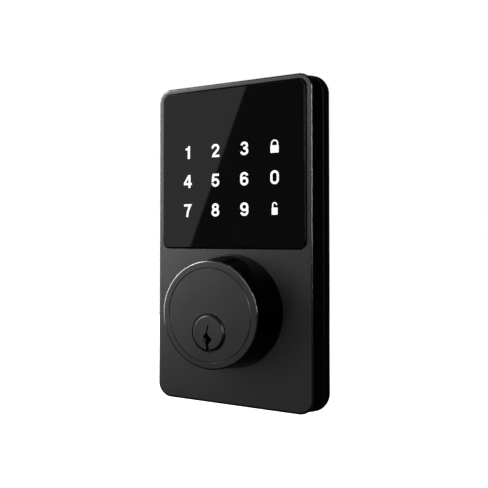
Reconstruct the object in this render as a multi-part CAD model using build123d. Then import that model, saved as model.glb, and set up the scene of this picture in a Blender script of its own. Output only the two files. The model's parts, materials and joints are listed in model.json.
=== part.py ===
from build123d import *
import math
import os

# Keypad smart lock, outside unit: a cast plate with a touch keypad, a drafted housing on a base plate, and a
# five-pin key cylinder in a free-turning guard collar.
# Frame: +Z up, +X to the right seen from the front, -Y towards the person at the door. The origin is on the
# door's face (y = 0), on the axis of the key plug, half way between the two mounting posts.
# A level is a distance in front of the door's face, so level 5 is y = -5 and a negative level is inside the door.

# Overall sizes
plate_width = 70.0
plate_height = 130.0
plate_corner = 6.0
plate_rise = 33.85         # plate's centre above the plug's axis
knob_rise = 6.7            # guard collar's centre above the plug's axis

# Stack from the door outwards
gasket_thickness = 1.4
base_web = 2.0
base_rim = 3.9             # base plate's whole height, web included
seal_thickness = 1.0
housing_depth = 5.0
plate_thickness = 3.3

# How far each outline stands out beyond the plate's
base_rear_grow = 1.6
base_front_grow = 1.0
housing_rear_grow = 0.8
housing_front_grow = -0.25
seal_inset = 0.8
gasket_inset = 0.2

# Walls and edges
base_wall = 2.2
housing_wall = 2.0
gasket_width = 3.9
seal_width = 1.4
rib_thickness = 1.2
rib_height = 2.5
plate_edge_round = 1.1
pocket_edge_round = 0.35   # plate's edge round the glass
seam_chamfer = 0.5

# Touch glass and what is behind it
glass_side_margin = 2.55   # plate's edge to the glass, left and right
glass_top_margin = 2.4     # plate's edge to the glass at the top
glass_collar_gap = 2.0     # guard collar's base to the glass
glass_corner = 3.0
glass_thickness = 2.0
glass_proud = 0.8
glass_edge_round = 0.6
tape_thickness = 0.3
window_border = 8.0        # glass's edge to the window behind it
window_corner = 2.0
key_columns = 4
key_rows = 3
keys_side_margin = 4.725   # window's edge to the outer keys' centres, left and right
keys_top_margin = 17.2     # the same, above
keys_bottom_margin = 7.65  # the same, below
led_size = 1.6
led_height = 0.7
board_thickness = 1.2
board_border_x = 1.4       # window's edge to the board's edge, sideways
board_border_z = 3.5       # the same, above and below
board_screw_inset_x = 6.15
board_screw_inset_z = 1.8
chip_size = 8.0
chip_height = 1.0
radio_width = 12.0
radio_height = 16.0
radio_thickness = 2.0
buzzer_radius = 6.0
buzzer_height = 3.0
socket_width = 12.0
socket_height = 5.0
socket_depth = 4.5

# Guard collar and cylinder
collar_reach = 17.5        # plate's face to the collar's front
barrel_radius = 15.95
disc_step = 1.75           # barrel's side to the disc's rim
disc_thickness = 3.1
disc_edge = 0.15           # chamfers that make the line round the disc
collar_rim = 2.65          # collar's front rim, round the disc
collar_taper = 2.35        # front rim to base
collar_edge_round = 0.7
washer_step = 1.25         # barrel's side to the washer
washer_width = 3.0
washer_thickness = 0.6
plug_radius = 6.4
plug_head_step = 0.45      # plug's side to its head
plug_face_inset = 0.2      # plug's face inside the line of its side
plug_head_depth = 2.0
plug_proud = 0.8
chamber_radius = 1.5
chamber_pitch = 3.81
rear_land = 1.66           # clip's groove to the last chamber's side
chamber_floor = -2.2       # height over the plug's axis
pin_rest = -2.0            # height of the key pins' tips with no key
key_pin_lengths = (5.2, 6.4, 4.8, 5.9, 5.4)
driver_length = 4.6
spring_wire = 0.18
spring_pitch = 1.0
cap_width = 4.9
cap_thickness = 1.5
cap_cover = 1.66           # cap's top below the barrel's skin
cap_overhang = 2.9
keyway_lead_radius = 2.15  # round shallow lead-in at the keyway's belly
keyway_lead_depth = 0.3
keyway_lead_x = 0.3
keyway_lead_z = -2.35
clip_thickness = 0.7
clip_groove_depth = 0.8
clip_step = 1.2            # plug's side to the clip's rim
clip_opening = 70.0        # degrees
clip_wall = 0.4            # clip's groove to the end cavity
cavity_wall = 0.95         # round the end cavity
cavity_depth = 2.3
hub_width = 3.4
blade_turn = 90.0          # degrees of lost motion between plug and blade
blade_width = 7.5
blade_thickness = 1.9
blade_reach = 52.0
plug_end_gap = 0.4

# Fasteners and posts
post_spacing = 38.0
post_radius = 4.0
post_length = 20.6
post_neck_radius = 2.5
post_head_radius = 3.6
post_head_height = 1.2
post_thread_radius = 2.1
post_thread_past_door = 0.5
boss_radius = 2.8
housing_screw_radius = 1.2
housing_screw_reach = 8.5
barrel_screw_radius = 1.6
barrel_screw_inset = 4.95  # barrel's side to its screws
barrel_screw_reach = 9.0
board_screw_radius = 0.95
board_screw_bite = 1.2
screw_head_height = 1.1
grommet_width = 14.0
grommet_height = 8.0
grommet_wall = 1.3
grommet_flange = 1.0
grommet_flange_thickness = 0.9

# Clearances
running_gap = 0.05         # shaft in its bore, each side
side_gap = 0.1             # parts laid side by side
end_gap = 0.1              # endways play of a turning part
collar_gap = 0.2           # collar over the plate
barrel_gap = 0.35          # barrel in the plate's hole, each side
head_gap = 0.45            # plug's head in its counterbore, each side
clip_gap = 0.4             # clip's rim in its counterbore
hub_gap = 0.15             # blade's hub in the end cavity
post_gap = 0.5             # post's head beside the barrel
boss_gap = 0.14            # screw boss in the housing's corner
spring_gap = 0.22          # spring's coils in their chamber
blade_gap = 0.53           # turning blade in the base's hole
shear_gap = 0.1            # pins either side of the shear line
screw_gap = 0.5            # screw in a through hole, each side
thread_gap = 0.05          # screw in its own thread, each side
stop_gap = 3.0             # degrees past the blade's stops

# Levels, worked out from the stack
base_rear = gasket_thickness
web_front = base_rear + base_web
base_front = base_rear + base_rim
housing_rear = base_front + seal_thickness
plate_rear = housing_rear + housing_depth
plate_face = plate_rear + plate_thickness
glass_front = plate_face + glass_proud
glass_rear = glass_front - glass_thickness
ledge = glass_rear - tape_thickness
board_rear = plate_rear - board_thickness
collar_front = plate_face + collar_reach
collar_back = plate_face + collar_gap
disc_back = collar_front - disc_thickness
plug_face = collar_front + plug_proud
plug_end = web_front + plug_end_gap
cavity_floor = plug_end + cavity_depth
clip_rear = cavity_floor + clip_wall
clip_front = clip_rear + clip_thickness + end_gap
rear_bore_floor = clip_front + end_gap
hub_rear = web_front + plug_end_gap / 2

# Places, worked out from the sizes above
half_width = plate_width / 2
half_height = plate_height / 2
disc_radius = barrel_radius + disc_step
collar_front_radius = disc_radius + side_gap + collar_rim
collar_base_radius = collar_front_radius + collar_taper
glass_width = plate_width - 2 * glass_side_margin
glass_top = plate_rise + half_height - glass_top_margin
glass_height = glass_top - (knob_rise + collar_base_radius + glass_collar_gap)
glass_rise = glass_top - glass_height / 2
inner_half_width = half_width + housing_front_grow - housing_wall
inner_half_height = half_height + housing_front_grow - housing_wall
inner_corner = plate_corner - housing_wall
window_width = glass_width - 2 * window_border
window_height = glass_height - 2 * window_border
board_width = window_width + 2 * board_border_x
board_height = window_height + 2 * board_border_z
board_screw_x = board_width / 2 - board_screw_inset_x
board_screw_z = board_height / 2 - board_screw_inset_z
key_pitch_x = (window_width - 2 * keys_side_margin) / (key_columns - 1)
key_pitch_z = (window_height - keys_top_margin - keys_bottom_margin) / (key_rows - 1)
keys_top = glass_rise + window_height / 2 - keys_top_margin
bore_radius = plug_radius + running_gap
plug_head_radius = plug_radius + plug_head_step
clip_groove_radius = plug_radius - clip_groove_depth
clip_outer_radius = plug_radius + clip_step
cavity_radius = plug_radius - cavity_wall
hub_half_length = cavity_radius - hub_gap
blade_hole_radius = math.hypot(blade_width / 2, blade_thickness / 2) + blade_gap
pin_radius = chamber_radius - running_gap
spring_radius = chamber_radius - spring_gap - spring_wire
pin_edge = math.sqrt(plug_radius ** 2 - pin_radius ** 2)   # where a flat pin's rim meets the plug's skin
shear_top = bore_radius + shear_gap / 2
shear_bottom = pin_edge - shear_gap / 2
spring_foot = shear_top + driver_length
cap_top = knob_rise + math.sqrt(barrel_radius ** 2 - (cap_width / 2) ** 2) - cap_cover
chamber_top = cap_top - cap_thickness
last_chamber = clip_front + rear_land + chamber_radius
chambers = [last_chamber + i * chamber_pitch for i in reversed(range(len(key_pin_lengths)))]
boss_room = boss_radius + boss_gap
boss_inset = max(boss_room, inner_corner - (inner_corner - boss_room) / math.sqrt(2))   # inner wall to a boss
boss_places = [(side * (inner_half_width - boss_inset), plate_rise + end * (inner_half_height - boss_inset))
               for side in (-1, 1) for end in (-1, 1)]
post_places = [(-post_spacing / 2, 0), (post_spacing / 2, 0)]
barrel_screw_places = [(side * (barrel_radius - barrel_screw_inset), knob_rise) for side in (-1, 1)]
inner_bottom = plate_rise - half_height - base_front_grow + base_wall
grommet_rise = (inner_bottom + knob_rise - barrel_radius) / 2   # half way between the barrel and the base's wall
board_screw_places = [(x, glass_rise + z) for x in (-board_screw_x, board_screw_x)
                      for z in (-board_screw_z, board_screw_z)]
key_places = [((i - (key_columns - 1) / 2) * key_pitch_x, keys_top - j * key_pitch_z)
              for j in range(key_rows) for i in range(key_columns)]

# Keyway seen from the front, from its top down the right side and up the left, about the plug's axis
keyway_profile = [
    (0.4, 3.0), (0.25, 1.7), (-0.05, 0.5), (0.0, -0.9), (1.5, -1.9), (1.35, -2.9), (0.55, -3.6), (0.2, -4.1),
    (0.2, -4.8), (0.7, -5.4), (0.7, -9.0), (-0.8, -9.0), (-0.8, -4.2), (-1.35, -3.2), (-1.05, -2.3), (-2.1, -1.3),
    (-0.75, 0.2), (-0.45, 1.7), (-0.3, 3.0),
]


# ---- Shapes used by several parts ----

def level(out):
    """The plane parallel to the door at a level; its normal points to the front."""
    return Plane.XZ.offset(out)


def outline(grow, out):
    """The plate's outline grown by an amount, at a level."""
    shape = RectangleRounded(plate_width + 2 * grow, plate_height + 2 * grow, plate_corner + grow)
    return level(out) * Pos(0, plate_rise) * shape


def drafted(grow_low, low, grow_high, high):
    """A solid between two outlines of different size."""
    return loft([outline(grow_low, low), outline(grow_high, high)], ruled=True)


def slab(width, height, corner, low, high, x=0.0, z=0.0):
    """A plate with round corners between two levels."""
    return extrude(level(low) * Pos(x, z) * RectangleRounded(width, height, corner), high - low)


def block(width, height, low, high, x=0.0, z=0.0):
    """A plate with square corners between two levels."""
    return extrude(level(low) * Pos(x, z) * Rectangle(width, height), high - low)


def rod(radius, low, high, x=0.0, z=0.0):
    """A round bar along Y between two levels."""
    return extrude(level(low) * Pos(x, z) * Circle(radius), high - low)


def turned(profile, z=0.0):
    """A solid turned about a line along Y at a height, from (radius, level) points."""
    face = make_face(Polyline([(radius, -out) for radius, out in profile], close=True))
    return Pos(0, 0, z) * revolve(face, Axis.Y)


def post_z(radius, low, high, out):
    """A round bar along Z between two heights, at a level."""
    return Pos(0, -out, low) * Cylinder(radius, high - low, align=(Align.CENTER, Align.CENTER, Align.MIN))


def inner_slab(inset, low, high):
    """The housing's inner space, made smaller all round by an inset."""
    width = 2 * (inner_half_width - inset)
    height = 2 * (inner_half_height - inset)
    return slab(width, height, inner_corner - inset, low, high, z=plate_rise)


def front_edges(part):
    return part.faces().sort_by(Axis.Y)[0].outer_wire().edges()


def rear_edges(part):
    return part.faces().sort_by(Axis.Y)[-1].outer_wire().edges()


def screw_head(shank_radius):
    """The radius of the pan head that goes with a shank."""
    return 1.75 * shank_radius + 0.5


def screw(shank_radius, low, reach, x, z):
    """A pan-head cross-slot screw: its head is behind the level, its shank goes forward from it."""
    head_radius = screw_head(shank_radius)
    head = rod(head_radius, low - screw_head_height, low, x, z)
    head = fillet(rear_edges(head), 0.5 * screw_head_height)
    shank = rod(shank_radius, low, low + reach, x, z)
    shank = chamfer(front_edges(shank), 0.3 * shank_radius)
    slot_depth = 0.6 * screw_head_height
    slot_low = low - screw_head_height
    slot = block(1.3 * head_radius, 0.32 * head_radius, slot_low, slot_low + slot_depth, x, z)
    cross = block(0.32 * head_radius, 1.3 * head_radius, slot_low, slot_low + slot_depth, x, z)
    return head + shank - slot - cross


def screws(shank_radius, low, reach, places):
    return Compound(children=[screw(shank_radius, low, reach, x, z) for x, z in places])


# ---- Plate, housing and base ----

def make_front_plate():
    plate = drafted(0.0, plate_rear, 0.0, plate_face)
    plate = fillet(front_edges(plate), plate_edge_round)
    plate = chamfer(rear_edges(plate), seam_chamfer)
    rib = inner_slab(side_gap, plate_rear - rib_height, plate_rear)
    plate += rib - inner_slab(side_gap + rib_thickness, plate_rear - rib_height, plate_rear)
    for x, z in boss_places:
        plate += rod(boss_radius, web_front, plate_rear, x, z)
        plate -= rod(housing_screw_radius + thread_gap, web_front, base_rear + housing_screw_reach + 0.3, x, z)
    pocket_corner = glass_corner + side_gap
    plate -= slab(glass_width + 2 * side_gap, glass_height + 2 * side_gap, pocket_corner,
                  ledge, plate_face + 1, z=glass_rise)
    plate = fillet(plate.faces().sort_by(Axis.Y)[0].inner_wires()[0].edges(), pocket_edge_round)
    plate -= slab(window_width, window_height, window_corner, plate_rear - 1, ledge + 1, z=glass_rise)
    plate -= rod(barrel_radius + barrel_gap, plate_rear - rib_height, plate_face + 1, z=knob_rise)
    for x, z in board_screw_places:
        plate -= rod(board_screw_radius + thread_gap, plate_rear, plate_rear + board_screw_bite + 0.1, x, z)
    return plate


def make_mid_housing():
    ring = drafted(housing_rear_grow, housing_rear, housing_front_grow, plate_rear)
    ring = fillet(front_edges(ring), seam_chamfer)
    ring = chamfer(rear_edges(ring), seam_chamfer)
    return ring - inner_slab(0.0, housing_rear, plate_rear)


def make_rear_base():
    base = drafted(base_rear_grow, base_rear, base_front_grow, base_front)
    base = fillet(front_edges(base), seam_chamfer)
    inner_width = plate_width + 2 * base_front_grow - 2 * base_wall
    inner_height = plate_height + 2 * base_front_grow - 2 * base_wall
    base -= slab(inner_width, inner_height, plate_corner + base_front_grow - base_wall,
                 web_front, base_front + 1, z=plate_rise)
    base -= rod(blade_hole_radius, base_rear, web_front)
    for x, z in post_places:
        base -= rod(post_neck_radius + thread_gap, base_rear, web_front, x, z)
    for x, z in barrel_screw_places:
        base -= rod(barrel_screw_radius + screw_gap, base_rear, web_front, x, z)
    for x, z in boss_places:
        base -= rod(housing_screw_radius + screw_gap, base_rear, web_front, x, z)
    return base - oblong(side_gap, base_rear, web_front)


def make_housing_seal():
    grow = housing_rear_grow - seal_inset
    ring = drafted(grow, base_front, grow, housing_rear)
    return ring - drafted(grow - seal_width, base_front, grow - seal_width, housing_rear)


def oblong(grow, low, high):
    """The cable outlet's round-ended shape, at the grommet's neck or grown from it."""
    height = grommet_height - 2 * side_gap + 2 * grow
    width = grommet_width - 2 * side_gap + 2 * grow
    return slab(width, height, height / 2.01, low, high, z=grommet_rise)


def make_door_gasket():
    grow = base_rear_grow - gasket_inset
    ring = drafted(grow, 0.0, grow, gasket_thickness)
    ring -= drafted(grow - gasket_width, 0.0, grow - gasket_width, gasket_thickness)
    for x, z in boss_places:
        ring -= rod(screw_head(housing_screw_radius) + side_gap, 0.0, gasket_thickness, x, z)
    return ring - oblong(grommet_flange + side_gap, 0.0, gasket_thickness)


def make_cable_grommet():
    neck = oblong(0.0, base_rear, web_front)
    rear_flange = oblong(grommet_flange, base_rear - grommet_flange_thickness, base_rear)
    front_flange = oblong(grommet_flange, web_front, web_front + grommet_flange_thickness)
    opening = oblong(-grommet_wall, 0.0, web_front + 2 * grommet_flange_thickness)
    return neck + rear_flange + front_flange - opening


def make_mounting_posts():
    posts = []
    for x, z in post_places:
        post = rod(post_radius, -post_length, base_rear, x, z)
        post = chamfer(rear_edges(post), seam_chamfer)
        post += rod(post_neck_radius, base_rear, web_front, x, z)
        post += rod(post_head_radius, web_front, web_front + post_head_height, x, z)
        post -= rod(barrel_radius + post_gap, web_front, web_front + post_head_height, z=knob_rise)
        post -= rod(post_thread_radius, -post_length, post_thread_past_door, x, z)
        posts.append(post)
    return Compound(children=posts)


# ---- Keypad ----

def make_touch_glass():
    glass = slab(glass_width, glass_height, glass_corner, glass_rear, glass_front, z=glass_rise)
    return fillet(front_edges(glass), glass_edge_round)


def make_glass_tape():
    tape = slab(glass_width - 2 * side_gap, glass_height - 2 * side_gap, glass_corner,
                ledge, glass_rear, z=glass_rise)
    return tape - slab(window_width, window_height, window_corner, ledge, glass_rear, z=glass_rise)


def make_light_guide():
    guide = slab(window_width - 2 * side_gap, window_height - 2 * side_gap, window_corner,
                 plate_rear, ledge, z=glass_rise)
    pocket = led_size + 4 * side_gap
    for x, z in key_places:
        guide -= block(pocket, pocket, plate_rear, plate_rear + led_height + side_gap, x, z)
    return guide


def make_key_leds():
    return Compound(children=[block(led_size, led_size, plate_rear, plate_rear + led_height, x, z)
                              for x, z in key_places])


def make_touch_board():
    board = slab(board_width, board_height, window_corner, board_rear, plate_rear, z=glass_rise)
    for x, z in board_screw_places:
        board -= rod(board_screw_radius + side_gap, board_rear, plate_rear, x, z)
    return board


def make_touch_chip():
    chip = block(chip_size, chip_size, board_rear - chip_height, board_rear, -12.0, glass_rise + 10.0)
    return chamfer(rear_edges(chip), 0.15)


def make_radio_module():
    low = board_rear - radio_thickness
    module = block(radio_width, radio_height, low, board_rear, 11.0, glass_rise + 8.0)
    return fillet(rear_edges(module), 0.4)


def make_buzzer():
    low = board_rear - buzzer_height
    buzzer = rod(buzzer_radius, low, board_rear, -13.0, glass_rise - 14.0)
    buzzer -= rod(1.0, low, low + 0.8, -13.0, glass_rise - 14.0)
    return fillet(rear_edges(buzzer), 0.4)


def make_cable_socket():
    low = board_rear - socket_depth
    socket = block(socket_width, socket_height, low, board_rear, 10.0, glass_rise - 18.0)
    return socket - block(socket_width - 1.6, socket_height - 1.6, low, board_rear - 1.0, 10.0, glass_rise - 18.0)


# ---- Guard collar and key cylinder ----

def make_guard_collar():
    bore = barrel_radius + running_gap
    washer_inner = barrel_radius + washer_step
    washer_outer = washer_inner + washer_width
    counterbore = disc_radius + side_gap
    counterbore_floor = disc_back - end_gap
    recess = collar_back + washer_thickness - collar_gap + running_gap
    profile = [
        (bore, collar_back), (washer_inner - side_gap, collar_back), (washer_inner - side_gap, recess),
        (washer_outer + side_gap, recess), (washer_outer + side_gap, collar_back),
        (collar_base_radius, collar_back), (collar_front_radius, collar_front),
        (counterbore + disc_edge, collar_front), (counterbore, collar_front - disc_edge),
        (counterbore, counterbore_floor), (bore, counterbore_floor),
    ]
    collar = turned(profile, knob_rise)
    return fillet(front_edges(collar), collar_edge_round)


def make_collar_washer():
    washer_inner = barrel_radius + washer_step
    washer_outer = washer_inner + washer_width
    washer = rod(washer_outer, plate_face, plate_face + washer_thickness, z=knob_rise)
    return washer - rod(washer_inner, plate_face, plate_face + washer_thickness, z=knob_rise)


def make_cylinder_body():
    body = turned([
        (0, web_front), (barrel_radius, web_front), (barrel_radius, disc_back), (disc_radius, disc_back),
        (disc_radius, collar_front - disc_edge), (disc_radius - disc_edge, collar_front), (0, collar_front),
    ], knob_rise)
    head_bore = collar_front - plug_head_depth - end_gap
    body -= rod(bore_radius, web_front, collar_front)
    body -= rod(plug_head_radius + head_gap, head_bore, collar_front + 1)
    body -= rod(clip_outer_radius + clip_gap, web_front, rear_bore_floor)
    for out in chambers:
        body -= post_z(chamber_radius, 0, chamber_top + 1, out)
    slot_low = chambers[-1] - cap_overhang - side_gap
    slot_high = chambers[0] + cap_overhang + side_gap
    slot_height = knob_rise + barrel_radius - chamber_top
    body -= block(cap_width + 2 * side_gap, slot_height, slot_low, slot_high, z=chamber_top + slot_height / 2)
    for x, z in barrel_screw_places:
        pilot_end = base_rear + barrel_screw_reach + 0.5
        body -= rod(barrel_screw_radius + thread_gap, web_front, pilot_end, x, z)
    return body


def make_chamber_cap():
    low = chambers[-1] - cap_overhang
    high = chambers[0] + cap_overhang
    return block(cap_width, cap_thickness, low, high, z=chamber_top + cap_thickness / 2)


def free_sector(reach):
    """The plug's end cavity, seen from the front: the space the blade's hub sweeps, with play at both stops."""
    spread = math.radians(45 + stop_gap)
    shape = Sketch()
    for middle in (math.radians(45), math.radians(225)):
        corners = [(reach * k * math.cos(middle + a), reach * k * math.sin(middle + a))
                   for a, k in ((-spread, 2), (0, 3), (spread, 2))]
        shape += make_face(Polyline([(0, 0)] + corners, close=True))
    for angle in (-stop_gap, blade_turn + stop_gap):
        shape += Rot(0, 0, angle) * Rectangle(2 * reach, hub_width + 2 * side_gap)
    return shape & Circle(reach)


def make_key_plug():
    head_rear = collar_front - plug_head_depth
    plug = turned([
        (0, plug_end), (plug_radius, plug_end), (plug_radius, head_rear), (plug_head_radius, head_rear),
        (plug_head_radius, collar_front), (plug_radius - plug_face_inset, plug_face), (0, plug_face),
    ])
    plug = fillet(front_edges(plug), 0.3)
    groove = rod(plug_radius + 1, clip_rear, clip_front) - rod(clip_groove_radius, clip_rear, clip_front)
    plug -= groove
    plug -= extrude(level(plug_end) * free_sector(cavity_radius), cavity_depth)
    keyway = make_face(Polyline(keyway_profile, close=True))
    plug -= extrude(level(clip_front + 1) * keyway, plug_face - clip_front)
    plug -= rod(keyway_lead_radius, plug_face - keyway_lead_depth, plug_face + 1, keyway_lead_x, keyway_lead_z)
    for out in chambers:
        plug -= post_z(chamber_radius, chamber_floor, plug_radius + 1, out)
    return plug


def make_plug_clip():
    low = clip_rear + end_gap / 2
    high = low + clip_thickness
    ring = rod(clip_outer_radius, low, high) - rod(clip_groove_radius + running_gap, low, high)
    half_open = math.radians(clip_opening / 2)
    reach = 2 * clip_outer_radius
    gap = make_face(Polyline([(0, 0), (-reach * math.tan(half_open), -reach),
                              (reach * math.tan(half_open), -reach)], close=True))
    return ring - extrude(level(low) * gap, clip_thickness)


def make_torque_blade():
    hub = extrude(level(hub_rear) * (Rectangle(hub_width, 2 * hub_half_length) & Circle(hub_half_length)),
                  cavity_floor - end_gap - hub_rear)
    blade = block(blade_thickness, blade_width, -blade_reach, hub_rear)
    blade = chamfer(rear_edges(blade), 0.4)
    return hub + blade


def make_key_pin(out, length):
    tip = 0.8
    cone = Cone(0.5, pin_radius, tip, align=(Align.CENTER, Align.CENTER, Align.MIN))
    return Pos(0, -out, pin_rest) * cone + post_z(pin_radius, pin_rest + tip, pin_rest + length, out)


def make_driver_pin(out):
    pin = post_z(pin_radius, shear_top, spring_foot, out)
    return chamfer(pin.edges().filter_by(GeomType.CIRCLE), 0.15)


def make_pin_spring(out):
    turns_height = chamber_top - spring_foot - 2 * spring_wire
    coil = Helix(spring_pitch, turns_height, spring_radius, center=(0, -out, spring_foot + spring_wire))
    section = Plane(coil @ 0, z_dir=coil % 0) * Circle(spring_wire)
    return sweep(section, path=coil, is_frenet=True)


# ---- Every part in its own file ----

parts = {
    "front_plate": make_front_plate(),
    "mid_housing": make_mid_housing(),
    "rear_base": make_rear_base(),
    "housing_seal": make_housing_seal(),
    "door_gasket": make_door_gasket(),
    "cable_grommet": make_cable_grommet(),
    "mounting_posts": make_mounting_posts(),
    "housing_screws": screws(housing_screw_radius, base_rear, housing_screw_reach, boss_places),
    "touch_glass": make_touch_glass(),
    "glass_tape": make_glass_tape(),
    "light_guide": make_light_guide(),
    "key_leds": make_key_leds(),
    "touch_board": make_touch_board(),
    "touch_chip": make_touch_chip(),
    "radio_module": make_radio_module(),
    "buzzer": make_buzzer(),
    "cable_socket": make_cable_socket(),
    "board_screws": screws(board_screw_radius, board_rear, board_thickness + board_screw_bite, board_screw_places),
    "guard_collar": make_guard_collar(),
    "collar_washer": make_collar_washer(),
    "cylinder_body": make_cylinder_body(),
    "cylinder_screws": screws(barrel_screw_radius, base_rear, barrel_screw_reach, barrel_screw_places),
    "chamber_cap": make_chamber_cap(),
    "key_plug": make_key_plug(),
    "plug_clip": make_plug_clip(),
    "torque_blade": make_torque_blade(),
}
for number, (out, length) in enumerate(zip(chambers, key_pin_lengths), start=1):
    parts[f"key_pin_{number}"] = make_key_pin(out, length)
    parts[f"driver_pin_{number}"] = make_driver_pin(out)
    parts[f"pin_spring_{number}"] = make_pin_spring(out)

os.makedirs("parts", exist_ok=True)
for name, part in parts.items():
    export_step(part, os.path.join("parts", name + ".step"))
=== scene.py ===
import json
import math

import bmesh
import bpy
from mathutils import Matrix, Vector


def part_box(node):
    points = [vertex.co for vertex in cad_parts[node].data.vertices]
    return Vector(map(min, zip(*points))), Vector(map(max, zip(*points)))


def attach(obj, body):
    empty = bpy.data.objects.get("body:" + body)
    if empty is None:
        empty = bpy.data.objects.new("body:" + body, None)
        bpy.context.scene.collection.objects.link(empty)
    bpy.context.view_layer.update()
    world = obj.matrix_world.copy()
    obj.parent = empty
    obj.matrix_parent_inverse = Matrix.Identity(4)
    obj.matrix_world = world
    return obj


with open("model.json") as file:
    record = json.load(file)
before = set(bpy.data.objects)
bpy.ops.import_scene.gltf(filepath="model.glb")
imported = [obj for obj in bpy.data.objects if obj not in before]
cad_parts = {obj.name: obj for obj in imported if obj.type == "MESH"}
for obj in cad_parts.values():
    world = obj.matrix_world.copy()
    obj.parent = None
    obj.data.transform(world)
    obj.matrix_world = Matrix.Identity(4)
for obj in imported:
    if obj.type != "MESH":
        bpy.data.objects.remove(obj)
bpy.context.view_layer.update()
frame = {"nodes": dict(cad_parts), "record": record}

MM = 0.001
NODES = frame["nodes"]
SCENE = bpy.context.scene
SCENE.view_settings.view_transform = "Standard"

# Places read from the frame: the levels of the front faces, and the middle and foot of the plate
GLASS_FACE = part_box("touch_glass")[0].y
COLLAR_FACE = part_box("guard_collar")[0].y
plate_low, plate_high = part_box("front_plate")
PLATE_FACE = plate_low.y
PLATE_CENTRE_Z = (plate_low.z + plate_high.z) / 2


# ---- Camera ----

CAMERA_SIDE = 122.86 * MM
CAMERA_OUT = 242.47 * MM
CAMERA_RISE = 1.42 * MM
CAMERA_YAW = 28.62
CAMERA_PITCH = 1.15
CAMERA_LENS = 47.62
CAMERA_SHIFT = (0.0341, -0.0364)
SENSOR_WIDTH = 36.0
CLIP_START = 5.0 * MM


def make_camera():
    data = bpy.data.cameras.new("camera")
    data.sensor_width = SENSOR_WIDTH
    data.lens = CAMERA_LENS
    data.shift_x, data.shift_y = CAMERA_SHIFT
    data.clip_start = CLIP_START
    camera = bpy.data.objects.new("camera", data)
    camera.location = (CAMERA_SIDE, -CAMERA_OUT, PLATE_CENTRE_Z + CAMERA_RISE)
    camera.rotation_euler = (math.radians(90 + CAMERA_PITCH), 0, math.radians(CAMERA_YAW))
    SCENE.collection.objects.link(camera)
    SCENE.camera = camera


# ---- Light and floor ----

FELT_COLOUR = (0.0025, 0.0025, 0.0027, 1)


def make_world():
    """White behind the object, and a dim grey for what it mirrors and is lit by."""
    world = bpy.data.worlds.new("studio")
    world.use_nodes = True
    tree = world.node_tree
    tree.nodes.clear()
    out = tree.nodes.new("ShaderNodeOutputWorld")
    rays = tree.nodes.new("ShaderNodeLightPath")
    mix = tree.nodes.new("ShaderNodeMixShader")
    seen = tree.nodes.new("ShaderNodeBackground")
    seen.inputs["Color"].default_value = (1, 1, 1, 1)
    felt = tree.nodes.new("ShaderNodeBackground")
    felt.inputs["Color"].default_value = FELT_COLOUR
    tree.links.new(rays.outputs["Is Camera Ray"], mix.inputs[0])
    tree.links.new(felt.outputs[0], mix.inputs[1])
    tree.links.new(seen.outputs[0], mix.inputs[2])
    tree.links.new(mix.outputs[0], out.inputs["Surface"])
    SCENE.world = world


def make_light(name, place, aim, size, radiance, roll=0.0):
    """A soft box of a given size and brightness, turned to face a point and rolled about its own axis."""
    data = bpy.data.lights.new(name, "AREA")
    data.shape = "RECTANGLE"
    data.size, data.size_y = size
    data.energy = radiance * math.pi * size[0] * size[1]
    light = bpy.data.objects.new(name, data)
    direction = Vector(aim) - Vector(place)
    turn = direction.to_track_quat("-Z", "Y").to_matrix().to_4x4()
    light.matrix_world = Matrix.Translation(place) @ turn @ Matrix.Rotation(math.radians(roll), 4, "Z")
    SCENE.collection.objects.link(light)


def make_lights():
    # the glass mirrors this card's slanted right-hand edge across the keypad
    make_light("card_left", (-0.631, -0.60, 0.21), (-0.631, 0.0, 0.21), (0.60, 0.62), 0.55, roll=-22.3)
    # three out of the glass's sight: a bright one for the coat's upper left, two dim ones for its right
    make_light("side_left", (-0.74, -0.55, 0.24), (-0.10, 0.0, 0.06), (0.40, 0.40), 2.0)
    make_light("upper_right", (0.03, -0.60, 0.33), (0.03, 0.0, 0.10), (0.42, 0.40), 0.5)
    make_light("low_right", (0.0, -0.60, -0.20), (0.0, 0.0, 0.0), (0.46, 0.30), 0.07)
    # a wide dim wall behind the camera, which the rest of the glass and the plate mirror
    make_light("front_wall", (-0.45, -1.3, 0.1), (-0.45, 0.0, 0.1), (1.9, 1.7), 0.06)
    # the key light: high on the left, it runs down the coat from the top
    make_light("key_high_left", (-0.62, -0.36, 0.55), (0, 0, 0.05), (0.35, 0.35), 6.0)
    # for the rounded edges: a wide one on the left, a narrow one high on the right
    make_light("edge_left", (-0.80, 0.05, 0.12), (0, 0, 0.04), (0.55, 0.6), 2.5)
    make_light("strip_right", (0.62, -0.33, 0.20), (0.03, 0, 0.04), (0.05, 0.36), 7.0)
    make_light("top", (0.0, 0.05, 0.8), (0, 0, 0), (0.4, 0.2), 0.3)
    # for the back, well to the left, where the knob's top doesn't mirror it
    make_light("back_left", (-0.75, 0.70, 0.15), (0, 0, 0.03), (0.5, 0.5), 7.0)
    make_light("back_fill", (-0.35, 0.60, 0.85), (0, 0, 0.03), (0.5, 0.4), 1.5)


FLOOR_REACH = 3.0
FLOOR_DROP = 90.0 * MM


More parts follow.
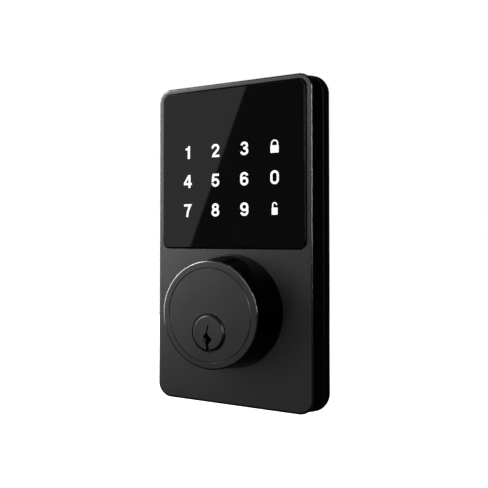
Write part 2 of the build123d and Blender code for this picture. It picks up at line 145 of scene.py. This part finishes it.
def make_floor():
    """A white floor some way under the plate's foot, which neither lights the object nor shows in it."""
    mesh = bpy.data.meshes.new("floor")
    reach = FLOOR_REACH
    corners = [(-reach, -reach, 0), (reach, -reach, 0), (reach, reach, 0), (-reach, reach, 0)]
    mesh.from_pydata(corners, [], [(0, 1, 2, 3)])
    floor = bpy.data.objects.new("floor", mesh)
    floor.location = (0, 0, plate_low.z - FLOOR_DROP)
    material = bpy.data.materials.new("floor_paint")
    material.use_nodes = True
    shader = material.node_tree.nodes["Principled BSDF"]
    shader.inputs["Base Color"].default_value = (0.9, 0.9, 0.9, 1)
    shader.inputs["Roughness"].default_value = 0.9
    shader.inputs["Emission Color"].default_value = (1, 1, 1, 1)
    shader.inputs["Emission Strength"].default_value = 1.0
    mesh.materials.append(material)
    SCENE.collection.objects.link(floor)
    floor.visible_glossy = False
    floor.visible_diffuse = False


# ---- Materials ----

class Finish:
    """One procedural material. Its coordinates are the object's own, in metres."""

    def __init__(self, name):
        self.material = bpy.data.materials.new(name)
        self.material.use_nodes = True
        self.tree = self.material.node_tree
        self.shader = self.tree.nodes["Principled BSDF"]
        self.place = self.tree.nodes.new("ShaderNodeTexCoord").outputs["Object"]

    def node(self, kind, **settings):
        made = self.tree.nodes.new(kind)
        for key, value in settings.items():
            setattr(made, key, value)
        return made

    def link(self, source, target):
        self.tree.links.new(source, target)

    def set(self, **values):
        """Constants on the shader's own sockets: roughness=0.4 sets Roughness, and so on."""
        for key, value in values.items():
            self.shader.inputs[key.replace("_", " ").title().replace("Ior", "IOR")].default_value = value

    def behind(self, level, fade):
        """0 in front of a level along Y, rising to 1 over the fade behind it."""
        parts = self.node("ShaderNodeSeparateXYZ")
        self.link(self.place, parts.inputs["Vector"])
        return self.spread(parts.outputs["Y"], 0.0, 1.0, level, level + fade)

    def tilted(self, start, end):
        """0 on faces square to Y, 1 on those that lean away from it."""
        parts = self.node("ShaderNodeSeparateXYZ")
        self.link(self.node("ShaderNodeNewGeometry").outputs["Normal"], parts.inputs["Vector"])
        return self.spread(parts.outputs["Y"], 0.0, 1.0, start - 1, end - 1)

    def between(self, factor, low, high):
        """A number between two, where low is another node's socket."""
        made = self.node("ShaderNodeMix", data_type="FLOAT")
        self.link(factor, made.inputs["Factor"])
        self.link(low, made.inputs["A"])
        made.inputs["B"].default_value = high
        return made.outputs["Result"]

    def stretched(self, stretch):
        mapping = self.node("ShaderNodeMapping")
        mapping.inputs["Scale"].default_value = stretch
        self.link(self.place, mapping.inputs["Vector"])
        return mapping.outputs["Vector"]

    def noise(self, size, detail=3.0, stretch=(1, 1, 1), distortion=0.0):
        """Noise whose features are about that size, in metres."""
        made = self.node("ShaderNodeTexNoise")
        made.inputs["Scale"].default_value = 1 / size
        made.inputs["Detail"].default_value = detail
        made.inputs["Distortion"].default_value = distortion
        self.link(self.stretched(stretch), made.inputs["Vector"])
        return made.outputs["Fac"]

    def cells(self, size):
        """Cells about that size across, in metres."""
        made = self.node("ShaderNodeTexVoronoi")
        made.inputs["Scale"].default_value = 1 / size
        self.link(self.place, made.inputs["Vector"])
        return made.outputs["Distance"]

    def spread(self, source, low, high, start=0.3, end=0.7):
        """The source's middle range spread over low to high."""
        made = self.node("ShaderNodeMapRange")
        made.inputs["From Min"].default_value = start
        made.inputs["From Max"].default_value = end
        made.inputs["To Min"].default_value = low
        made.inputs["To Max"].default_value = high
        self.link(source, made.inputs["Value"])
        return made.outputs["Result"]

    def mix(self, factor, low, high):
        """A colour between two, each a tuple or another node's socket."""
        made = self.node("ShaderNodeMix", data_type="RGBA")
        self.link(factor, made.inputs["Factor"])
        for value, socket in ((low, made.inputs["A"]), (high, made.inputs["B"])):
            if isinstance(value, tuple):
                socket.default_value = (*value, 1)
            else:
                self.link(value, socket)
        return made.outputs["Result"]

    def edges(self, radius):
        """1 on sharp outer edges, 0 on flat faces."""
        bevel = self.node("ShaderNodeBevel", samples=4)
        bevel.inputs["Radius"].default_value = radius
        geometry = self.node("ShaderNodeNewGeometry")
        dot = self.node("ShaderNodeVectorMath", operation="DOT_PRODUCT")
        self.link(bevel.outputs["Normal"], dot.inputs[0])
        self.link(geometry.outputs["Normal"], dot.inputs[1])
        return self.spread(dot.outputs["Value"], 0.0, 1.0, 0.985, 0.86)

    def colour(self, source):
        self.link(source, self.shader.inputs["Base Color"])

    def roughness(self, source):
        self.link(source, self.shader.inputs["Roughness"])

    def bump(self, source, depth):
        made = self.node("ShaderNodeBump")
        made.inputs["Distance"].default_value = depth
        made.inputs["Strength"].default_value = 1.0
        self.link(source, made.inputs["Height"])
        self.link(made.outputs["Normal"], self.shader.inputs["Normal"])


def grey(value, blue=1.0):
    return (value, value, value * blue)


COAT_CLOUDS = 18 * MM
COAT_GRAIN = 0.35 * MM
COAT_DEPTH = 0.006 * MM
COAT_EDGE = 0.35 * MM
# over this depth the sides fade into their painted shade
SIDE_SHADE_FADE = 0.3 * MM
WORN_TONE = 0.32
# the next tone is a painted highlight on rounded front edges; the roughness after it is their polish
POLISHED_EDGE_HIGHLIGHT_TONE = 0.36
POLISHED_ROUGHNESS = 0.2


def coated_metal(name, dark, light, rough, metallic, wear=0.25, face=None):
    """A satin black coat: fine grain, faint clouding, and edges rubbed a little lighter.

    Where a face's level is given, the rounded edge in front of it gets a polish from handling, a lower
    roughness, and a lighter colour as a painted highlight, and the sides behind it get a near-black painted
    shade.
    """
    finish = Finish(name)
    finish.set(metallic=metallic, ior=1.5)
    clouds = finish.spread(finish.noise(COAT_CLOUDS, 2.0), 0.0, 1.0)
    speckle = finish.spread(finish.noise(COAT_GRAIN, 4.0), 0.0, 1.0)
    base = finish.mix(clouds, grey(dark), grey(light))
    base = finish.mix(finish.spread(speckle, 0.0, 0.22, 0.0, 1.0), base, grey(light * 1.5))
    worn = finish.spread(finish.edges(COAT_EDGE), 0.0, wear, 0.0, 1.0)
    coat = finish.mix(worn, base, grey(WORN_TONE, 0.98))
    gloss = finish.spread(speckle, rough[0], rough[1], 0.0, 1.0)
    if face is not None:
        # rounded front edges, which lean away from Y: lower roughness as polish, and a lighter colour as a
        # painted highlight
        polish_and_highlight = finish.tilted(0.02, 0.10)
        coat = finish.mix(polish_and_highlight, coat, grey(POLISHED_EDGE_HIGHLIGHT_TONE))
        # painted shade: the sides behind the face level get a near-black colour
        coat = finish.mix(finish.behind(face, SIDE_SHADE_FADE), coat, grey(0.02 * dark))
        gloss = finish.between(polish_and_highlight, gloss, POLISHED_ROUGHNESS)
    finish.colour(coat)
    finish.roughness(gloss)
    finish.bump(speckle, COAT_DEPTH)
    return finish.material


PLASTIC_DEPTH = 0.02 * MM


def moulded_plastic(name, dark, light, rough=(0.5, 0.62), grain=0.5 * MM):
    """Spark-eroded plastic: a leathery grain of small cells."""
    finish = Finish(name)
    finish.set(ior=1.46)
    cells = finish.cells(grain)
    clouds = finish.spread(finish.noise(9 * MM, 3.0), 0.0, 1.0)
    finish.colour(finish.mix(clouds, dark, light))
    finish.roughness(finish.spread(cells, rough[0], rough[1], 0.0, 1.0))
    finish.bump(cells, PLASTIC_DEPTH)
    return finish.material


def rubber(name):
    """Matt rubber with a little dust on it."""
    finish = Finish(name)
    finish.set(ior=1.45)
    dust = finish.spread(finish.noise(2.5 * MM, 6.0), 0.0, 1.0, 0.45, 0.8)
    finish.colour(finish.mix(dust, grey(0.008), grey(0.022)))
    finish.roughness(finish.spread(finish.noise(0.6 * MM), 0.68, 0.9))
    finish.bump(finish.noise(0.4 * MM, 4.0), 0.03 * MM)
    return finish.material


METAL_GRAIN = 0.12 * MM
METAL_DEPTH = 0.004 * MM


def bare_metal(name, dark, light, rough=(0.22, 0.42), stretch=(1, 1, 1), spots=0.0):
    """Plated or turned metal: stretched scratches, and an optional dull bloom."""
    finish = Finish(name)
    finish.set(metallic=1.0)
    lines = finish.noise(METAL_GRAIN, 6.0, stretch)
    bloom = finish.noise(4 * MM, 5.0, distortion=0.6)
    base = finish.mix(finish.spread(lines, 0.0, 1.0), dark, light)
    duller = tuple(c * 0.55 for c in dark)
    base = finish.mix(finish.spread(bloom, 0.0, spots, 0.45, 0.75), base, duller)
    finish.colour(base)
    finish.roughness(finish.spread(lines, rough[0], rough[1]))
    finish.bump(lines, METAL_DEPTH)
    return finish.material


def black_glass(name):
    """Toughened glass printed black behind: deep gloss with the faintest smears."""
    finish = Finish(name)
    finish.set(ior=1.5)
    smears = finish.noise(14 * MM, 5.0, (1, 1, 0.35), 0.8)
    finish.colour(finish.mix(finish.spread(smears, 0.0, 1.0), grey(0.0022, 1.1), grey(0.0034, 1.12)))
    finish.roughness(finish.spread(smears, 0.015, 0.035))
    return finish.material


def legend_print(name):
    """White legend lit from behind by the light guide."""
    finish = Finish(name)
    tone = finish.spread(finish.noise(1.6 * MM, 2.0), 0.0, 1.0)
    finish.colour(finish.mix(tone, grey(0.86), grey(0.93)))
    finish.roughness(finish.spread(finish.noise(0.5 * MM), 0.3, 0.42))
    finish.link(finish.mix(tone, grey(0.94), grey(1.0)), finish.shader.inputs["Emission Color"])
    finish.set(emission_strength=0.85)
    return finish.material


def translucent(name, dark, light, glow=0.0):
    """Milky plastic that light sinks into, and which may glow."""
    finish = Finish(name)
    finish.set(ior=1.49, subsurface_weight=0.35, subsurface_scale=0.8 * MM)
    veil = finish.spread(finish.noise(1.2 * MM, 4.0), 0.0, 1.0)
    finish.colour(finish.mix(veil, dark, light))
    finish.roughness(finish.spread(veil, 0.28, 0.45, 0.0, 1.0))
    finish.bump(finish.noise(0.3 * MM), 0.01 * MM)
    if glow:
        finish.link(finish.mix(veil, dark, light), finish.shader.inputs["Emission Color"])
        finish.set(emission_strength=glow)
    return finish.material


TRACK_PITCH = 2.6 * MM


def circuit_board(name):
    """Solder mask over copper: bright lands and tracks in a grid, under a green skin."""
    finish = Finish(name)
    finish.set(ior=1.5)
    tracks = finish.node("ShaderNodeTexBrick")
    tracks.inputs["Scale"].default_value = 1 / TRACK_PITCH
    tracks.inputs["Mortar Size"].default_value = 0.06
    tracks.inputs["Color1"].default_value = (0.012, 0.085, 0.03, 1)
    tracks.inputs["Color2"].default_value = (0.015, 0.1, 0.036, 1)
    tracks.inputs["Mortar"].default_value = (0.03, 0.2, 0.07, 1)
    turned = finish.node("ShaderNodeMapping")
    turned.inputs["Rotation"].default_value = (math.radians(90), 0, 0)
    finish.link(finish.place, turned.inputs["Vector"])
    finish.link(turned.outputs["Vector"], tracks.inputs["Vector"])
    mottled = finish.spread(finish.noise(0.8 * MM, 4.0), 0.0, 0.35)
    finish.colour(finish.mix(mottled, tracks.outputs["Color"], (0.02, 0.14, 0.05)))
    finish.roughness(finish.spread(tracks.outputs["Fac"], 0.38, 0.25, 0.0, 1.0))
    finish.bump(tracks.outputs["Fac"], 0.035 * MM)
    return finish.material


# How far each edge polish, with its painted highlight, reaches behind its face; the sides behind it get
# painted shade
PLATE_EDGE = 1.0 * MM
COLLAR_EDGE = 0.6 * MM


def make_materials():
    return {
        "plate_coat": coated_metal("plate_coat_black", 0.16, 0.18, (0.29, 0.35), metallic=0.95,
                                   face=PLATE_FACE + PLATE_EDGE),
        "collar_coat": coated_metal("collar_coat_black", 0.16, 0.18, (0.28, 0.33), metallic=0.97,
                                    face=COLLAR_FACE + COLLAR_EDGE),
        "cylinder_coat": coated_metal("cylinder_coat_black", 0.16, 0.18, (0.29, 0.35), metallic=0.95),
        "plug_coat": coated_metal("plug_coat_black", 0.12, 0.16, (0.32, 0.42), metallic=0.9, wear=0.5),
        "base_coat": coated_metal("base_coat_black", 0.010, 0.014, (0.32, 0.42), metallic=0.1, wear=0.1),
        "housing_plastic": moulded_plastic("housing_plastic_black", grey(0.004), grey(0.007), (0.32, 0.42)),
        "seal_rubber": rubber("seal_rubber_black"),
        "touch_glass": black_glass("touch_glass_black"),
        "tape_foam": moulded_plastic("tape_foam_black", grey(0.016), grey(0.026), (0.8, 0.95), 0.25 * MM),
        "guide_acrylic": translucent("guide_acrylic_white", grey(0.8), grey(0.92)),
        "led_white": translucent("led_lens_yellow", (0.85, 0.76, 0.42), (0.95, 0.9, 0.62), glow=0.3),
        "board_mask": circuit_board("board_mask_green"),
        "chip_epoxy": moulded_plastic("chip_epoxy_black", grey(0.018), grey(0.028), (0.45, 0.6), 0.2 * MM),
        "shield_tin": bare_metal("shield_tin", grey(0.52), grey(0.7), (0.25, 0.45), (1, 1, 0.1), spots=0.3),
        "buzzer_plastic": moulded_plastic("buzzer_plastic_black", grey(0.022), grey(0.034)),
        "socket_nylon": moulded_plastic("socket_nylon_natural", (0.72, 0.68, 0.56), (0.84, 0.8, 0.68)),
        "washer_nylon": moulded_plastic("washer_nylon_black", grey(0.04), grey(0.06)),
        "zinc_steel": bare_metal("zinc_steel", (0.46, 0.47, 0.46), (0.66, 0.67, 0.66), spots=0.45),
        "blade_steel": bare_metal("blade_steel", grey(0.36), grey(0.52), (0.28, 0.5), (1, 0.06, 1),
                                  spots=0.4),
        "cap_brass": bare_metal("cap_brass", (0.6, 0.42, 0.16), (0.78, 0.58, 0.26), spots=0.35),
        "pin_brass": bare_metal("pin_brass", (0.62, 0.45, 0.18), (0.82, 0.63, 0.3), (0.2, 0.36),
                                (0.2, 0.2, 3)),
        "spring_steel": bare_metal("spring_steel", grey(0.5), grey(0.68), (0.2, 0.34)),
        "legend": legend_print("legend_white"),
    }


def dress_nodes(materials):
    """Every CAD node gets the material of the slot that the record gives it."""
    for entry in frame["record"]["subparts"]:
        for place in NODES[entry["node"]].material_slots:
            place.link = "OBJECT"
            place.material = materials[entry["material_slot"]]


# ---- Legends ----

LEGEND_HEIGHT = 5.35 * MM
LEGEND_WEIGHT = 0.172         # stroke width over height
LEGEND_PROUD = 0.02 * MM
LEGEND_DEEP = 0.04 * MM
LED_SIZE = 1.6 * MM
leds_low, leds_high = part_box("key_leds")
KEY_PITCH_X = (leds_high.x - leds_low.x - LED_SIZE) / 3
KEY_PITCH_Z = (leds_high.z - leds_low.z - LED_SIZE) / 2
KEYS_TOP_Z = leds_high.z - LED_SIZE / 2


def arc(x, y, rx, ry, start, end, steps=20):
    """Points on an ellipse's arc, in degrees."""
    points = []
    for i in range(steps + 1):
        angle = math.radians(start + (end - start) * i / steps)
        points.append((x + rx * math.cos(angle), y + ry * math.sin(angle)))
    return points


def ribbon(points, width, closed=False):
    """The left and right edges of a stroke along the points, mitred at its corners."""
    path = [Vector(p) for p in points]
    count = len(path)
    left, right = [], []
    for i, point in enumerate(path):
        before = path[(i - 1) % count] if closed or i else point
        after = path[(i + 1) % count] if closed or i < count - 1 else point
        ahead = (after - point).normalized() if after != point else (point - before).normalized()
        behind = (point - before).normalized() if before != point else ahead
        along = (ahead + behind).normalized()
        across = Vector((-along.y, along.x))
        reach = width / 2 / max(0.5, across.dot(Vector((-ahead.y, ahead.x))))
        left.append(point + across * reach)
        right.append(point - across * reach)
    return left, right


def stroke_mesh(points, width, closed=False):
    """A flat closed bar that follows the points; x and y are across and up, z is thickness from 0 to 1."""
    left, right = ribbon(points, width, closed)
    made = bmesh.new()
    rings = []
    for a, b in zip(left, right):
        rings.append([made.verts.new((p.x, p.y, z)) for p, z in ((a, 0), (b, 0), (b, 1), (a, 1))])
    pairs = list(zip(rings, rings[1:])) + ([(rings[-1], rings[0])] if closed else [])
    for one, two in pairs:
        for i in range(4):
            j = (i + 1) % 4
            made.faces.new((one[i], one[j], two[j], two[i]))
    if not closed:
        made.faces.new(rings[0][::-1])
        made.faces.new(rings[-1])
    bmesh.ops.recalc_face_normals(made, faces=made.faces)
    return made


def shape_mesh(points):
    """A flat closed plate with this outline."""
    made = bmesh.new()
    low = [made.verts.new((x, y, 0)) for x, y in points]
    high = [made.verts.new((x, y, 1)) for x, y in points]
    made.faces.new(low[::-1])
    made.faces.new(high)
    for i in range(len(points)):
        j = (i + 1) % len(points)
        made.faces.new((low[i], low[j], high[j], high[i]))
    bmesh.ops.recalc_face_normals(made, faces=made.faces)
    return made


def to_object(made, name):
    mesh = bpy.data.meshes.new(name)
    made.to_mesh(mesh)
    made.free()
    piece = bpy.data.objects.new(name, mesh)
    SCENE.collection.objects.link(piece)
    return piece


def combine(first, others, operation):
    """Joins or cuts flat solids exactly, and leaves one clean mesh."""
    for other in others:
        tool = first.modifiers.new("combine", "BOOLEAN")
        tool.operation = operation
        tool.solver = "EXACT"
        tool.object = other
    bpy.context.view_layer.update()
    evaluated = first.evaluated_get(bpy.context.evaluated_depsgraph_get())
    mesh = bpy.data.meshes.new_from_object(evaluated)
    first.modifiers.clear()
    first.data = mesh
    for other in others:
        bpy.data.objects.remove(other)
    return first


def half_turn(points):
    return [(-x, 1 - y) for x, y in points]


def digit_strokes():
    """Each numeral's centrelines, in a box one unit high with x = 0 in its middle."""
    t = LEGEND_WEIGHT
    low, high = t / 2, 1 - t / 2
    wide = 0.25
    six_hook = arc(0, 0.685, wide, high - 0.685, 12, 180) + [(-wide, 0.5), (-wide, 0.33)]
    six_bowl = arc(0, 0.325, wide, 0.325 - low, 0, 360, 40)[:-1]
    oval = arc(0, 0.68, wide, high - 0.68, 0, 180) + arc(0, 0.32, wide, 0.32 - low, 180, 360)
    return {
        "2": [(arc(0, 0.70, wide, high - 0.70, 188, -28) + [(0.12, 0.47), (-0.14, 0.22), (-0.19, low),
                                                           (0.345, low)], False)],
        "3": [(arc(0, 0.72, 0.225, high - 0.72, 175, -75), False),
              (arc(0, 0.29, wide, 0.29 - low, 80, -175), False),
              ([(-0.08, 0.52), (0.08, 0.52)], False)],
        "5": [([(0.30, high - 0.01), (-0.17, high - 0.01), (-0.235, 0.47)]
               + arc(0.0, 0.325, wide, 0.325 - low, 128, -172), False)],
        "6": [(six_hook, False), (six_bowl, True)],
        "7": [([(-0.34, high - 0.01), (0.235, high - 0.01), (0.11, 0.68), (0.0, 0.40), (-0.06, 0.0)], False)],
        "8": [(arc(0, 0.725, 0.205, high - 0.725, 0, 360, 40)[:-1], True),
              (arc(0, 0.30, wide, 0.30 - low, 0, 360, 40)[:-1], True)],
        "9": [(half_turn(six_hook), False), (half_turn(six_bowl), True)],
        "0": [(oval, True)],
    }


def make_digit(name):
    if name == "1":
        outline = [(0.19, 0), (0.19, 1), (0.05, 1), (0.0, 0.87), (-0.21, 0.81), (-0.21, 0.68), (-0.01, 0.68),
                   (-0.01, 0)]
        return to_object(shape_mesh(outline), "legend_1")
    if name == "4":
        outline = [(0.05, 0), (0.24, 0), (0.24, 0.22), (0.36, 0.22), (0.36, 0.38), (0.24, 0.38), (0.24, 1),
                   (0.04, 1), (-0.36, 0.39), (-0.36, 0.22), (0.05, 0.22)]
        opening = [(0.06, 0.38), (0.06, 0.74), (-0.17, 0.38)]
        return cut_through(outline, opening, "legend_4")
    strokes = [to_object(stroke_mesh(points, LEGEND_WEIGHT, closed), f"legend_{name}")
               for points, closed in digit_strokes()[name]]
    return combine(strokes[0], strokes[1:], "UNION")


def cut_through(outline, opening, name):
    """A flat plate with a hole of that outline right through it."""
    plate = to_object(shape_mesh(outline), name)
    tool = to_object(shape_mesh(opening), name + "_cut")
    for vertex in tool.data.vertices:
        vertex.co.z = vertex.co.z * 2 - 0.5
    return combine(plate, [tool], "DIFFERENCE")


def make_padlock(name, width, shut):
    """A padlock's sign: a solid body with a thin shackle, shut, or raised with its right leg cut short."""
    body_top = 0.56
    foot = 0.03
    weight = 0.105
    inset = 0.035
    sunk = 0.05
    half = width / 2
    body = [(foot - half, 0), (half - foot, 0), (half, foot),
            (half, body_top), (-half, body_top), (-half, foot)]
    reach = half - inset - weight / 2
    crown = 1 - weight / 2 - reach
    right_foot = body_top - sunk if shut else crown - 0.02
    shackle = [(reach, right_foot)] + arc(0, crown, reach, reach, 0, 180, 28) + [(-reach, body_top - sunk)]
    pieces = [to_object(shape_mesh(body), name), to_object(stroke_mesh(shackle, weight), name + "_shackle")]
    return combine(pieces[0], pieces[1:], "UNION")


def place_legend(piece, column, row, height, material):
    """Stands a flat sign on the glass, over its key; x runs across, y up, and z into thickness."""
    depth = LEGEND_PROUD + LEGEND_DEEP
    x = (column - 1.5) * KEY_PITCH_X
    z = KEYS_TOP_Z - row * KEY_PITCH_Z
    turn = Matrix(((height, 0, 0, x), (0, 0, -depth, GLASS_FACE + LEGEND_DEEP),
                   (0, height, 0, z - height / 2), (0, 0, 0, 1)))
    piece.data.transform(turn)
    piece.data.materials.clear()
    piece.data.materials.append(material)
    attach(piece, "lock_body")


KEY_ROWS = [("1", "2", "3", "shut"), ("4", "5", "6", "0"), ("7", "8", "9", "open")]
SHUT_WIDTH, SHUT_HEIGHT = 0.68, 0.95 * LEGEND_HEIGHT
OPEN_WIDTH, OPEN_HEIGHT = 0.51, 0.91 * LEGEND_HEIGHT


def make_legends(material):
    """One sign over each key; a padlock's width is a share of its height."""
    for row, names in enumerate(KEY_ROWS):
        for column, name in enumerate(names):
            if name == "shut":
                piece, height = make_padlock("legend_locked", SHUT_WIDTH, True), SHUT_HEIGHT
            elif name == "open":
                piece, height = make_padlock("legend_unlocked", OPEN_WIDTH, False), OPEN_HEIGHT
            else:
                piece, height = make_digit(name), LEGEND_HEIGHT
            place_legend(piece, column, row, height, material)


# ---- Put together ----

make_camera()
make_world()
make_lights()
make_floor()
materials = make_materials()
dress_nodes(materials)
make_legends(materials["legend"])
